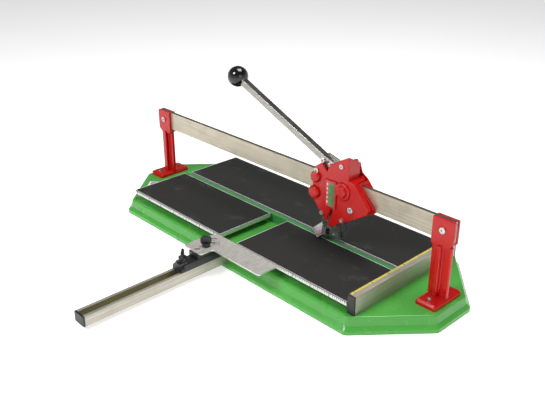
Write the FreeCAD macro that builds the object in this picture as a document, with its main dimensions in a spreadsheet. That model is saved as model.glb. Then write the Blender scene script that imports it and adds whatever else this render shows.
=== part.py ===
import FreeCAD, Part
import math
import os
import re
import Sketcher
from FreeCAD import Vector, Rotation, Placement

# Manual tile cutter. Millimetres, +Z up, +X along the rail, -Y towards the user.
# Origin: centre of the base tray's underside, on the surface it stands on.

os.makedirs("parts", exist_ok=True)
doc = FreeCAD.newDocument("TileCutter")

sizes = {
    # base tray
    "base_length": 960, "base_depth": 376, "corner_x": 117, "corner_y": 134,
    "lip_height": 8, "skirt_inset": 7, "skirt_height": 15, "plateau_inset": 11,
    "plateau_top": 33, "sheet_wall": 2, "tray_bend": 4, "corner_bend": 14,
    "buffer_radius": 15, "buffer_inset": 70,
    "stiffener_width": 60, "stiffener_wall": 2, "stiffener_end_gap": 120,
    # breaker rib under the cutting line
    "rib_width": 9, "rib_top": 54, "rib_edge": 2, "rib_end_gap": 6,
    # pedestals and rail
    "pedestal_inset": 42, "foot_width": 46, "foot_length": 90, "foot_height": 11,
    "foot_slope": 4, "head_width": 48, "head_depth": 19, "head_below_rail": 12,
    "web_thickness": 8, "flute_width": 9, "flute_depth": 26, "cast_round": 2,
    "rail_bottom": 164, "rail_height": 45, "rail_thickness": 8, "rail_overhang": 22,
    "rail_bolt_radius": 4, "rail_bolt_head_radius": 6.5, "foot_screw_radius": 3,
    "foot_screw_spacing": 62, "screw_head_radius": 5, "screw_head_height": 4,
    # tables
    "table_gap": 8.5, "table_depth": 155.5, "front_split": 28, "end_to_table": 79,
    "table_to_fence": 2, "board_bottom": 46, "board_thickness": 8, "mat_thickness": 1.7,
    "scale_thickness": 1, "rear_table_step": 6, "lug_width": 16, "lug_height": 9,
    "hinge_inset": 24, "lug_half": 7, "hinge_drop": 4, "hinge_pin_radius": 2.5, "bracket_wall": 4,
    "spring_radius": 7, "spring_wire": 1.4, "spring_turns": 4, "spring_inset": 26,
    "spring_seat_gap": 0.15, "lug_inset": 45,
    # side fence
    "fence_width": 17, "fence_height": 40, "fence_wall": 2, "fence_to_foot": 50.5,
    "fence_front": 161, "cap_thickness": 4, "tape_width": 5, "tape_thickness": 0.4,
    # measuring arm
    "arm_width": 32, "arm_height": 22, "arm_bottom": 8.5, "arm_wall": 2,
    "arm_slot": 18, "arm_reach": 530, "arm_inside": 128, "arm_tape_width": 13,
    # slider and protractor stop
    "slider_front": 303, "slider_length": 106, "slider_height": 15, "dome_radius": 16,
    "dome_length": 20, "saddle_start": 44, "saddle_top": 57.2, "slider_knob_y": 287,
    "plate_thickness": 3, "plate_bar_back": 171, "plate_bar_depth": 53,
    "plate_bar_reach": 166, "plate_stem_left": 37, "plate_stem_right": 21,
    "plate_stem_front": 256, "plate_corner_cut": 26, "plate_pivot_y": 224,
    "knob_radius": 9, "knob_height": 9, "wing_width": 24, "wing_height": 15,
    "wing_thickness": 6, "stud_radius": 3,
    # carriage
    "carriage_x": 185, "shell_half": 22, "shell_wall": 3, "flange_half": 5.5, "seam_half": 11.7,
    "clasp_half": 22.5, "label_thickness": 0.8, "foot_relief": 0.6,
    "hood_back": 12, "roller_tread": 7.5, "roller_flange": 9, "roller_half": 6.5,
    "roller_bore": 4, "roller_left": 56.5, "roller_right": 40, "roller_inner": 18, "axle_head_radius": 5.5,
    "pivot_rise": 13, "pivot_radius": 5,
    # lever
    "plate_inner": 7.7, "rocker_wall": 3, "handle_bar": 15, "handle_angle": 23.3,
    "handle_length": 347, "handle_drop": 4.6, "ball_radius": 24, "handle_bolt_radius": 3.5,
    "wheel_radius": 9, "wheel_width": 3, "wheel_height": 71, "wheel_bore": 2.5,
    "foot_half": 25, "foot_wall": 3.5, "foot_bottom": 60.5, "foot_rise": 34,
    # fits
    "screw_clear": 0.25, "running_clear": 0.05, "rail_clear": 0.3, "slide_clear": 0.3,
    "slot_clear": 0.8,
}

sheet = doc.addObject("Spreadsheet::Sheet", "Sizes")
for row, (alias, value) in enumerate(sizes.items(), start=1):
    sheet.set("A%d" % row, alias)
    sheet.set("B%d" % row, str(value))
    sheet.setAlias("B%d" % row, alias)
doc.recompute()

ALIAS = re.compile(r"\b(%s)\b" % "|".join(sorted(sizes, key=len, reverse=True)))
nodes = []

# Places worked out from the driving sizes, used by more than one piece.
PEDESTAL_X = "(base_length / 2 - pedestal_inset)"
RAIL_TOP = "(rail_bottom + rail_height)"
RAIL_MID = "(rail_bottom + rail_height / 2)"
TABLE_END = "(base_length / 2 - pedestal_inset - end_to_table)"
FENCE_IN = "(%s - foot_width / 2 - fence_to_foot - fence_width)" % PEDESTAL_X
TABLE_RIGHT = "(%s - table_to_fence)" % FENCE_IN
TABLE_FRONT = "(table_gap + table_depth)"
MAT_TOP = "(board_bottom + board_thickness + mat_thickness)"
BOARD_TOP = "(board_bottom + board_thickness)"
HINGE_Y = "(%s - hinge_inset)" % TABLE_FRONT
HINGE_Z = "(board_bottom - hinge_drop)"
TRAY_UNDER = "(plateau_top - sheet_wall)"
ARM_TOP = "(arm_bottom + arm_height)"
PIVOT_Z = "(%s + pivot_rise)" % RAIL_TOP
PLATE_LOW = "(saddle_top + running_clear)"


def link(text):
    """Point the aliases in an expression at the sheet."""
    return ALIAS.sub(r"Sizes.\1", str(text))


def bind(obj, prop, text):
    obj.setExpression(prop, link(text))


def keep(obj, label):
    """Register a finished sub-part under its node name."""
    obj.Label = label
    nodes.append(obj)
    return obj


def place(obj, x=0, y=0, z=0, axis=None, angle=None):
    """Bind an object's Placement; the axis and angle are optional."""
    if axis is not None:
        obj.Placement = Placement(Vector(), Rotation(Vector(*axis), 90))
        bind(obj, "Placement.Rotation.Angle", angle)
    for name, value in zip("xyz", (x, y, z)):
        bind(obj, "Placement.Base.%s" % name, value)
    return obj


def box(name, x, y, z, length, width, height):
    obj = doc.addObject("Part::Box", name)
    for prop, value in zip(("Length", "Width", "Height"), (length, width, height)):
        bind(obj, prop, value)
    return place(obj, x, y, z)


def cylinder(name, radius, height, x, y, z, axis=None, angle=None):
    """Upright by default; axis Y or X cylinders run from y or x upwards."""
    obj = doc.addObject("Part::Cylinder", name)
    bind(obj, "Radius", radius)
    bind(obj, "Height", height)
    return place(obj, x, y, z, axis, angle)


def alongY(name, radius, start, length, x, z):
    return cylinder(name, radius, length, x, start, z, (1, 0, 0), -90)


def alongX(name, radius, start, length, y, z):
    return cylinder(name, radius, length, start, y, z, (0, 1, 0), 90)


def fuse(name, *parts):
    obj = doc.addObject("Part::MultiFuse", name)
    obj.Shapes = list(parts)
    obj.Refine = True
    return obj


def cut(name, base, *tools):
    obj = doc.addObject("Part::Cut", name)
    obj.Base = base
    obj.Tool = tools[0] if len(tools) == 1 else fuse(name + "Tool", *tools)
    obj.Refine = True
    return obj


def group(name, *parts):
    obj = doc.addObject("Part::Compound", name)
    obj.Links = list(parts)
    return obj


def newBody(name):
    return doc.addObject("PartDesign::Body", name)


def outline(body, name, role, points, offset=0, circles=()):
    """A sketch on an origin plane: one closed polygon and any circles, every point bound."""
    sketch = body.newObject("Sketcher::SketchObject", name)
    plane = [f for f in body.Origin.OriginFeatures if f.Role == role][0]
    sketch.AttachmentSupport = [(plane, "")]
    sketch.MapMode = "FlatFace"
    bind(sketch, "AttachmentOffset.Base.z", offset)
    count = len(points)
    for i in range(count):
        j = (i + 1) % count
        start = Vector(10 * i, (i * i) % 7, 0)
        end = Vector(10 * j, (j * j) % 7, 0)
        sketch.addGeometry(Part.LineSegment(start, end), False)
    for i in range(count):
        sketch.addConstraint(Sketcher.Constraint("Coincident", i, 2, (i + 1) % count, 1))
    for i, (px, py) in enumerate(points):
        for kind, value in (("DistanceX", px), ("DistanceY", py)):
            index = sketch.addConstraint(Sketcher.Constraint(kind, -1, 1, i, 1, 10.0 + i))
            bind(sketch, "Constraints[%d]" % index, value)
    for i, (cx, cy, radius) in enumerate(circles, start=count):
        sketch.addGeometry(Part.Circle(Vector(5 * i, 5, 0), Vector(0, 0, 1), 2.0), False)
        for kind, value in (("DistanceX", cx), ("DistanceY", cy)):
            index = sketch.addConstraint(Sketcher.Constraint(kind, -1, 1, i, 3, 5.0 + i))
            bind(sketch, "Constraints[%d]" % index, value)
        index = sketch.addConstraint(Sketcher.Constraint("Radius", i, 2.0))
        bind(sketch, "Constraints[%d]" % index, radius)
    return sketch


def rectangle(x0, x1, y0, y1):
    return [(x0, y0), (x1, y0), (x1, y1), (x0, y1)]


def pad(body, name, sketch, length):
    feature = body.newObject("PartDesign::Pad", name)
    feature.Profile = sketch
    bind(feature, "Length", length)
    return feature


def pocket(body, name, sketch, length, reverse=False, both=False):
    feature = body.newObject("PartDesign::Pocket", name)
    feature.Profile = sketch
    feature.Reversed = reverse
    feature.Midplane = both
    bind(feature, "Length", length)
    return feature


def edgesWhere(shape, test):
    return ["Edge%d" % (i + 1) for i, edge in enumerate(shape.Edges) if test(edge)]


def round_(body, name, radius, test, kind="PartDesign::Fillet"):
    """Round or chamfer the body's edges that pass the test."""
    doc.recompute()
    tip = body.Tip
    feature = body.newObject(kind, name)
    feature.Base = (tip, edgesWhere(tip.Shape, test))
    bind(feature, "Radius" if kind.endswith("Fillet") else "Size", radius)
    return feature


def runsAlong(edge, axis):
    """True for a straight edge parallel to the named axis."""
    size = {"x": edge.BoundBox.XLength, "y": edge.BoundBox.YLength, "z": edge.BoundBox.ZLength}
    return size[axis] > 0.1 and all(size[a] < 0.001 for a in "xyz" if a != axis)


def isUpright(edge):
    return runsAlong(edge, "z")


def value(text):
    """The number an expression stands for, read through the sheet."""
    probe = doc.getObject("Probe") or doc.addObject("App::FeaturePython", "Probe")
    if not hasattr(probe, "Number"):
        probe.addProperty("App::PropertyFloat", "Number")
    bind(probe, "Number", text)
    probe.recompute()
    return probe.Number


# ---- base tray: one pressed sheet, eight-sided, with a lip, a skirt and a plateau

DIAGONAL = "sqrt(corner_x ^ 2 + corner_y ^ 2)"


def octagon(inset):
    long_x = "(base_length / 2 - corner_x - (%s) * (%s - corner_x) / corner_y)" % (inset, DIAGONAL)
    long_y = "(base_depth / 2 - (%s))" % inset
    end_x = "(base_length / 2 - (%s))" % inset
    end_y = "(base_depth / 2 - corner_y - (%s) * (%s - corner_y) / corner_x)" % (inset, DIAGONAL)
    corners = [(long_x, "-" + long_y), (end_x, "-" + end_y), (end_x, end_y), (long_x, long_y)]
    mirrored = [("-" + x, y) for x, y in reversed(corners)]
    return corners + mirrored


def trayForm(body, tag, wall):
    """The tray's outer form, or the hollow inside it when wall is the sheet."""
    levels = [("plateau_inset", "plateau_top"), ("skirt_inset", "skirt_height"),
              ("0", "lip_height"), ("0", "0")]
    sketches = []
    for i, (inset, height) in enumerate(levels):
        drop = "0" if height == "0" else wall
        sketch = outline(body, "%s%d" % (tag, i), "XY_Plane", octagon("%s + %s" % (inset, wall)),
                         "%s - %s" % (height, drop))
        sketches.append(sketch)
    kind = "PartDesign::AdditiveLoft" if tag == "Form" else "PartDesign::SubtractiveLoft"
    loft = body.newObject(kind, tag + "Loft")
    loft.Profile = sketches[0]
    loft.Sections = sketches[1:]
    loft.Ruled = True
    return loft


FOOT_SCREW_Y = "(foot_screw_spacing / 2)"
tray = newBody("Tray")
trayForm(tray, "Form", "0")
round_(tray, "CornerBends", "corner_bend",
       lambda e: abs(e.Vertexes[0].Z - e.Vertexes[1].Z) > 5)
round_(tray, "PlateauBend", "tray_bend",
       lambda e: min(v.Z for v in e.Vertexes) > value("plateau_top") - 0.01)
trayForm(tray, "Hollow", "sheet_wall")
arm_gap = outline(tray, "ArmOpening", "XZ_Plane",
                  rectangle("-arm_width / 2 - slot_clear", "arm_width / 2 + slot_clear",
                            "arm_bottom - slot_clear", "%s + slot_clear / 4" % ARM_TOP),
                  "base_depth / 2 - plateau_inset - 2 * sheet_wall")
pocket(tray, "ArmWindow", arm_gap, "plateau_inset + 4 * sheet_wall", reverse=True)
holes = []
for side in ("", "-"):
    for end in ("", "-"):
        holes.append(("%s%s" % (side, PEDESTAL_X), "%s%s" % (end, FOOT_SCREW_Y),
                      "foot_screw_radius + screw_clear"))
hole_sketch = outline(tray, "FootHoles", "XY_Plane", [], "plateau_top + 1", holes)
pocket(tray, "FootScrewHoles", hole_sketch, "sheet_wall + 2")
keep(tray, "base_tray")

# stiffening channel pressed like a top hat, welded under the plateau along the rib
channel = newBody("Channel")
hat = outline(channel, "HatSection", "YZ_Plane", [
    ("-stiffener_width / 2", "1"), ("-stiffener_width / 2 + stiffener_wall", "1"),
    ("-stiffener_width / 2 + stiffener_wall", "%s - stiffener_wall" % TRAY_UNDER),
    ("stiffener_width / 2 - stiffener_wall", "%s - stiffener_wall" % TRAY_UNDER),
    ("stiffener_width / 2 - stiffener_wall", "1"), ("stiffener_width / 2", "1"),
    ("stiffener_width / 2", TRAY_UNDER), ("-stiffener_width / 2", TRAY_UNDER)],
    "-base_length / 2 + stiffener_end_gap")
pad(channel, "HatLength", hat, "base_length - 2 * stiffener_end_gap")
keep(channel, "stiffener_channel")

# four rubber buffers under the plateau, level with the tray's rim
buffers = []
for i, (sx, sy) in enumerate((("", ""), ("", "-"), ("-", ""), ("-", "-"))):
    cone = doc.addObject("Part::Cone", "Buffer%d" % i)
    bind(cone, "Radius1", "buffer_radius")
    bind(cone, "Radius2", "buffer_radius * 0.8")
    bind(cone, "Height", TRAY_UNDER)
    buffers.append(place(cone, "%s(base_length / 2 - corner_x - buffer_inset)" % sx,
                         "%s(base_depth / 2 - buffer_inset)" % sy, 0))
keep(group("Buffers", *buffers), "rubber_buffers")

# breaker rib: a folded bar with rounded shoulders standing on the plateau
rib = newBody("Rib")
rib_sketch = outline(rib, "RibSection", "YZ_Plane",
                     rectangle("-rib_width / 2", "rib_width / 2", "plateau_top", "rib_top"),
                     "-%s - rib_end_gap" % TABLE_END)
pad(rib, "RibLength", rib_sketch, "%s + %s + rib_end_gap" % (TABLE_END, TABLE_RIGHT))
round_(rib, "RibShoulders", "rib_edge",
       lambda e: min(v.Z for v in e.Vertexes) > value("rib_top") - 0.01 and e.Length > 100)
keep(rib, "breaker_rib")

# ---- pedestals: one casting, used at both ends


def pedestal(name, turn, label):
    body = newBody(name)
    foot = outline(body, name + "Foot", "XY_Plane",
                   rectangle("-foot_width / 2", "foot_width / 2", "-foot_length / 2", "foot_length / 2"),
                   "plateau_top")
    pad(body, name + "FootPad", foot, "foot_height")
    round_(body, name + "FootCorners", "foot_slope", isUpright)
    round_(body, name + "FootBevel", "foot_slope",
           lambda e: min(v.Z for v in e.Vertexes) > value("plateau_top + foot_height") - 0.01,
           "PartDesign::Chamfer")
    web = outline(body, name + "Web", "XY_Plane",
                  rectangle("-head_width / 2", "head_width / 2 - 4",
                            "-web_thickness / 2", "web_thickness / 2"),
                  "plateau_top + foot_height - 1")
    pad(body, name + "WebPad", web, "rail_bottom - head_below_rail - plateau_top - foot_height + 2")
    flute = outline(body, name + "Flute", "XY_Plane",
                    rectangle("-flute_width / 2 - 3", "flute_width / 2 - 3",
                              "-flute_depth / 2", "flute_depth / 2"),
                    "plateau_top + foot_height - 1")
    pad(body, name + "FlutePad", flute, "rail_bottom - head_below_rail - plateau_top - foot_height + 2")
    round_(body, name + "FluteRounds", "cast_round", lambda e: isUpright(e) and e.Length > 60)
    head = outline(body, name + "Head", "XZ_Plane", [
        ("-head_width / 2", "rail_bottom - head_below_rail + 4"),
        ("-head_width / 2 + 4", "rail_bottom - head_below_rail"),
        ("head_width / 2 - 10", "rail_bottom - head_below_rail"),
        ("head_width / 2", "rail_bottom - head_below_rail + 9"),
        ("head_width / 2", RAIL_TOP), ("-head_width / 2", RAIL_TOP)], "-head_depth / 2")
    pad(body, name + "HeadPad", head, "head_depth")
    round_(body, name + "HeadRounds", "cast_round",
           lambda e: e.BoundBox.ZMin > value("rail_bottom") and e.BoundBox.ZMax < value(RAIL_TOP) + 1
           and isUpright(e) or (e.BoundBox.ZMin > value("rail_bottom") - 8 and isUpright(e)))
    slot = outline(body, name + "Slot", "XZ_Plane",
                   rectangle("-head_width / 2 - 1", "head_width / 2 + 1", "rail_bottom", RAIL_TOP + " + 1"),
                   "-rail_thickness / 2")
    pocket(body, name + "RailSlot", slot, "rail_thickness", reverse=True)
    bolt = outline(body, name + "Bolt", "XZ_Plane", [], "-head_depth",
                   [("0", RAIL_MID, "rail_bolt_radius + screw_clear")])
    pocket(body, name + "BoltHole", bolt, "2 * head_depth", reverse=True)
    screws = outline(body, name + "Screws", "XY_Plane", [], "plateau_top - 1",
                     [("0", "-" + FOOT_SCREW_Y, "foot_screw_radius + screw_clear"),
                      ("0", FOOT_SCREW_Y, "foot_screw_radius + screw_clear")])
    pocket(body, name + "ScrewHoles", screws, "foot_height + 2", reverse=True)
    place(body, ("-" if turn else "") + PEDESTAL_X, 0, 0, (0, 0, 1), "180" if turn else "0")
    return keep(body, label)


pedestal("RightPost", False, "pedestal_right")
pedestal("LeftPost", True, "pedestal_left")

rail = box("RailBlank", "-%s - rail_overhang" % PEDESTAL_X, "-rail_thickness / 2", "rail_bottom",
           "2 * (%s + rail_overhang)" % PEDESTAL_X, "rail_thickness", "rail_height")
rail_holes = [alongY("RailHole%d" % i, "rail_bolt_radius + screw_clear", "-rail_thickness",
                     "2 * rail_thickness", side + PEDESTAL_X, RAIL_MID)
              for i, side in enumerate(("", "-"))]
keep(cut("Rail", rail, *rail_holes), "rail_bar")


def socketScrew(name, x, y, seat, shank, length, radius, head_radius, head_height):
    """A screw along Z: head above the seat, shank below it, hexagon socket in the head."""
    head = cylinder(name + "Head", head_radius, head_height, x, y, seat)
    stem = cylinder(name + "Stem", radius, length, x, y, "%s - (%s)" % (seat, length))
    socket = doc.addObject("Part::Prism", name + "Socket")
    socket.Polygon = 6
    bind(socket, "Circumradius", "(%s) * 0.5" % head_radius)
    bind(socket, "Height", head_height)
    place(socket, x, y, "%s + (%s) * 0.4" % (seat, head_height))
    return cut(name, fuse(name + "Blank", head, stem), socket)


foot_screws = []
for side in ("", "-"):
    for end in ("", "-"):
        foot_screws.append(socketScrew(
            "FootScrew%d" % len(foot_screws), side + PEDESTAL_X, end + FOOT_SCREW_Y,
            "(plateau_top + foot_height)", "foot_screw_radius",
            "(foot_height + sheet_wall + 6)", "foot_screw_radius", "screw_head_radius",
            "screw_head_height"))
keep(group("FootScrews", *foot_screws), "pedestal_screws")


def boltAlongY(name, x, z, front, back, radius, head_radius, head_height, nut_height):
    """A bolt along Y with a socket head at the front face and a nut at the back face."""
    head = alongY(name + "Head", head_radius, "%s - %s" % (front, head_height), head_height, x, z)
    stem = alongY(name + "Stem", radius, front, "%s - (%s) + %s + 1" % (back, front, nut_height), x, z)
    nut = doc.addObject("Part::Prism", name + "Nut")
    nut.Polygon = 6
    bind(nut, "Circumradius", head_radius)
    bind(nut, "Height", nut_height)
    place(nut, x, back, z, (1, 0, 0), -90)
    socket = doc.addObject("Part::Prism", name + "Socket")
    socket.Polygon = 6
    bind(socket, "Circumradius", "(%s) * 0.5" % head_radius)
    bind(socket, "Height", "(%s) * 0.6" % head_height)
    place(socket, x, "%s - %s" % (front, head_height), z, (1, 0, 0), -90)
    return cut(name, fuse(name + "Blank", head, stem, nut), socket)


rail_bolts = [boltAlongY("RailBolt%d" % i, side + PEDESTAL_X, RAIL_MID, "(-head_depth / 2)",
                         "(head_depth / 2)", "rail_bolt_radius", "rail_bolt_head_radius", "3", "4")
              for i, side in enumerate(("", "-"))]
keep(group("RailBolts", *rail_bolts), "rail_bolts")

# ---- tables: three sprung boards, each hinged along its outer edge


def table(name, label, side, left, right, with_scale):
    """side is '-' for a front table and '' for the rear one."""
    low_y = "-" + TABLE_FRONT if side else "table_gap"
    depth = "table_depth"
    board = box(name + "Board", left, low_y, "board_bottom", "%s - (%s)" % (right, left), depth,
                "board_thickness")
    lugs = []
    bores = []
    middles = ["(%s) + lug_inset" % left, "(%s) - lug_inset" % right]
    for i, middle in enumerate(middles):
        lugs.append(box("%sLug%d" % (name, i), "%s - lug_width / 2" % middle,
                        "%s%s - lug_half" % (side, HINGE_Y), "board_bottom - lug_height + 1",
                        "lug_width", "2 * lug_half", "lug_height"))
    bore = alongX(name + "Bore", "hinge_pin_radius + running_clear", left,
                  "%s - (%s)" % (right, left), side + HINGE_Y, HINGE_Z)
    keep(cut(name, fuse(name + "Blank", board, *lugs), bore), label + "_board")
    keep(box(name + "Mat", left, low_y, BOARD_TOP, "%s - (%s)" % (right, left), depth,
             "mat_thickness"), label + "_mat")
    if with_scale:
        keep(box(name + "Scale", left, "%s - scale_thickness" % low_y, "board_bottom + 1",
                 "%s - (%s)" % (right, left), "scale_thickness", "board_thickness - 1"),
             label + "_scale")
    return middles


def spring_places(left, right):
    return ["(%s) + lug_inset * 1.5" % left, "(%s) - lug_inset * 1.5" % right]


def spring(name, x, y):
    """A compression coil between the plateau and the board, as one swept wire."""
    low = value("plateau_top + spring_seat_gap + spring_wire / 2")
    high = value("board_bottom - spring_seat_gap - spring_wire / 2")
    turns = sizes["spring_turns"]
    pitch = (high - low) / turns
    radius = sizes["spring_radius"] - sizes["spring_wire"] / 2
    helix = Part.makeHelix(pitch, high - low, radius)
    heading = Vector(0, 2 * math.pi * radius, pitch)
    ring = Part.Wire([Part.makeCircle(sizes["spring_wire"] / 2, Vector(radius, 0, 0), heading)])
    coil = Part.Wire(helix.Edges).makePipe(Part.Face(ring))
    feature = doc.addObject("Part::Feature", name)
    feature.Shape = coil
    feature.Placement = Placement(Vector(value(x), value(y), low), Rotation())
    return feature


tables = (
    ("FrontLeft", "front_left", "-", "(-%s)" % TABLE_END, "(-front_split)", True),
    ("FrontRight", "front_right", "-", "(front_split)", TABLE_RIGHT, True),
    ("Rear", "rear", "", "(-%s + rear_table_step)" % TABLE_END, TABLE_RIGHT, False),
)
brackets = []
pins = []
for name, label, side, left, right, with_scale in tables:
    for i, middle in enumerate(table(name, label, side, left, right, with_scale)):
        for j, ear_side in enumerate(("-", "")):
            ear_x = ("%s - lug_width / 2 - slide_clear - bracket_wall" % middle if ear_side
                     else "%s + lug_width / 2 + slide_clear" % middle)
            ear = box("%sEar%d%d" % (name, i, j), ear_x,
                      "%s%s - lug_half + 2" % (side, HINGE_Y), "plateau_top", "bracket_wall",
                      "2 * lug_half - 4", "%s + 3.5 - plateau_top" % HINGE_Z)
            hole = alongX("%sEarHole%d%d" % (name, i, j), "hinge_pin_radius + running_clear",
                          "%s - 1" % ear_x, "bracket_wall + 2", side + HINGE_Y, HINGE_Z)
            brackets.append(cut("%sBracket%d%d" % (name, i, j), ear, hole))
        pins.append(alongX("%sPin%d" % (name, i), "hinge_pin_radius",
                           "%s - lug_width / 2 - bracket_wall - 1" % middle,
                           "lug_width + 2 * bracket_wall + 2", side + HINGE_Y, HINGE_Z))
    for end, middle in zip(("left", "right"), spring_places(left, right)):
        coil = spring(name + end.title() + "Coil", middle, "%s(table_gap + spring_inset)" % side)
        keep(coil, "%s_spring_%s" % (label, end))
keep(group("Brackets", *brackets), "hinge_brackets")
keep(group("HingePins", *pins), "hinge_pins")

# ---- side fence: an aluminium box section with a tape along its inner top edge

fence_outer = box("FenceOuter", FENCE_IN, "-fence_front", "plateau_top", "fence_width",
                  "fence_front + " + TABLE_FRONT, "fence_height")
fence_inner = box("FenceInner", FENCE_IN + " + fence_wall", "-fence_front - 1",
                  "plateau_top + fence_wall", "fence_width - 2 * fence_wall",
                  "fence_front + %s + 2" % TABLE_FRONT, "fence_height - 2 * fence_wall")
keep(cut("Fence", fence_outer, fence_inner), "side_fence")
keep(box("FenceTape", FENCE_IN + " + 0.6", "-fence_front + 1", "plateau_top + fence_height",
         "tape_width", "fence_front + %s - 2" % TABLE_FRONT, "tape_thickness"), "fence_tape")


def endCap(name, x, y, z, width, height, outwards):
    """A moulded cap with a plug that fills the section's bore."""
    plate_y = "%s - cap_thickness" % y if outwards == "-" else y
    plug_y = y if outwards == "-" else "%s - 6" % y
    plate = box(name + "Plate", x, plate_y, z, width, "cap_thickness", height)
    plug = box(name + "Plug", "%s + fence_wall + slide_clear" % x, plug_y,
               "%s + fence_wall + slide_clear" % z, "%s - 2 * (fence_wall + slide_clear)" % width,
               "6", "%s - 2 * (fence_wall + slide_clear)" % height)
    return fuse(name, plate, plug)


keep(group("FenceCaps",
           endCap("FenceCapFront", FENCE_IN, "(-fence_front)", "plateau_top", "fence_width",
                  "fence_height", "-"),
           endCap("FenceCapRear", FENCE_IN, TABLE_FRONT, "plateau_top", "fence_width",
                  "fence_height", "")), "fence_end_caps")

# ---- measuring arm: a slotted channel that enters the front wall of the tray

ARM_BACK = "(base_depth / 2 - arm_inside)"
arm_outer = box("ArmOuter", "-arm_width / 2", "-arm_reach", "arm_bottom", "arm_width",
                "arm_reach - %s" % ARM_BACK, "arm_height")
arm_bore = box("ArmBore", "-arm_width / 2 + arm_wall", "-arm_reach - 1", "arm_bottom + arm_wall",
               "arm_width - 2 * arm_wall", "arm_reach + 2", "arm_height - 2 * arm_wall")
arm_slot = box("ArmSlot", "-arm_slot / 2", "-arm_reach - 1", "arm_bottom + arm_wall", "arm_slot",
               "arm_reach + 2", "arm_height")
keep(cut("Arm", arm_outer, arm_bore, arm_slot), "measuring_arm")
keep(box("ArmTape", "-arm_tape_width / 2", "-arm_reach + 4", "arm_bottom + arm_wall",
         "arm_tape_width", "arm_reach - %s - 8" % ARM_BACK, "tape_thickness"), "arm_tape")
keep(box("ArmCap", "-arm_width / 2", "-arm_reach - cap_thickness", "arm_bottom", "arm_width",
         "cap_thickness", "arm_height"), "arm_end_cap")
saddle = newBody("ArmSaddle")
clip = outline(saddle, "ClipSection", "XZ_Plane", [
    ("-arm_width / 2 - 14", TRAY_UNDER), ("-arm_width / 2 - 14", TRAY_UNDER + " - 2"),
    ("-arm_width / 2 - slot_clear - 2", TRAY_UNDER + " - 2"),
    ("-arm_width / 2 - slot_clear - 2", "arm_bottom - 2.2"),
    ("arm_width / 2 + slot_clear + 2", "arm_bottom - 2.2"),
    ("arm_width / 2 + slot_clear + 2", TRAY_UNDER + " - 2"),
    ("arm_width / 2 + 14", TRAY_UNDER + " - 2"), ("arm_width / 2 + 14", TRAY_UNDER),
    ("arm_width / 2 + slot_clear", TRAY_UNDER), ("arm_width / 2 + slot_clear", "arm_bottom"),
    ("-arm_width / 2 - slot_clear", "arm_bottom"), ("-arm_width / 2 - slot_clear", TRAY_UNDER)],
    "%s + 20" % ARM_BACK)
pad(saddle, "ClipLength", clip, "24")
keep(saddle, "arm_saddle")

# ---- slider: a moulded block on the arm with a rounded nose and a saddle for the stop

SLIDER_LOW = "(%s + running_clear)" % ARM_TOP
body_box = box("SliderBody", "-arm_width / 2", "-slider_front + 8", SLIDER_LOW, "arm_width",
               "slider_length - 8", "slider_height")
nose = alongY("SliderNose", "dome_radius", "-slider_front", "dome_length", 0,
              "%s + 3" % SLIDER_LOW)
under = box("SliderUnder", "-40", "-slider_front - 1", "%s - 40" % SLIDER_LOW, "80",
            "dome_length + 2", "40")
saddle_block = box("SliderSaddle", "-arm_width / 2 + 1", "-slider_front + saddle_start",
                   SLIDER_LOW, "arm_width - 2", "slider_length - saddle_start",
                   "saddle_top - %s" % SLIDER_LOW)
keel = box("SliderKeel", "-arm_slot / 2 + slide_clear", "-slider_front + 8",
           "%s - arm_wall" % ARM_TOP, "arm_slot - 2 * slide_clear", "slider_length - 16",
           "arm_wall + running_clear")
slider_solid = fuse("SliderSolid", cut("NoseTop", nose, under), body_box, saddle_block, keel)
NOSE_TOP = "(%s + 3 + dome_radius)" % SLIDER_LOW
knob_hole = cylinder("SliderKnobHole", "stud_radius + running_clear", "60", 0, "-slider_knob_y",
                     "arm_bottom + arm_wall + 1")
plate_hole = cylinder("PlateStudHole", "stud_radius + running_clear", "60", 0, "-plate_pivot_y",
                      "arm_bottom + arm_wall + 1")
keep(cut("Slider", slider_solid, knob_hole, plate_hole), "slider_block")

# clamp nuts under the arm's lips, drawn up by the knobs' studs
clamp_nuts = []
for i, across in enumerate(("slider_knob_y", "plate_pivot_y")):
    nut = box("ClampNut%d" % i, "-arm_width / 2 + arm_wall + slot_clear", "-%s - 11" % across,
              "%s - arm_wall - slide_clear - 4" % ARM_TOP,
              "arm_width - 2 * (arm_wall + slot_clear)", "22", "4")
    thread = cylinder("ClampThread%d" % i, "stud_radius + running_clear", "20", 0, "-" + across,
                      "arm_bottom + arm_wall")
    clamp_nuts.append(cut("Clamp%d" % i, nut, thread))
keep(group("ClampNuts", *clamp_nuts), "clamp_nuts")


def wingKnob(name, y, seat, depth, turn):
    """A moulded hub with two wings on a threaded stud that points down."""
    hub = cylinder(name + "Hub", "knob_radius", "knob_height", 0, 0, 0)
    wings = newBody(name + "Wings")
    shape = outline(wings, name + "WingOutline", "XZ_Plane", [
        ("-wing_width / 2 + 5", "1"), ("wing_width / 2 - 5", "1"),
        ("wing_width / 2", "knob_height"), ("wing_width / 2", "knob_height + wing_height - 5"),
        ("wing_width / 2 - 4", "knob_height + wing_height"),
        ("-wing_width / 2 + 4", "knob_height + wing_height"),
        ("-wing_width / 2", "knob_height + wing_height - 5"), ("-wing_width / 2", "knob_height")],
        "-wing_thickness / 2")
    pad(wings, name + "WingPad", shape, "wing_thickness")
    round_(wings, name + "WingRounds", "1.8", lambda e: e.BoundBox.YLength < 0.001)
    stud = cylinder(name + "Stud", "stud_radius", "%s + 1" % depth, 0, 0, "-(%s)" % depth)
    knob = fuse(name, hub, wings, stud)
    place(knob, 0, "-" + y, seat, (0, 0, 1), turn)
    return knob


keep(wingKnob("SliderWing", "slider_knob_y", NOSE_TOP, "28", "-43"), "slider_knob")

# ---- protractor stop: a flat steel plate that turns about the stud over the slider

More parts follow.
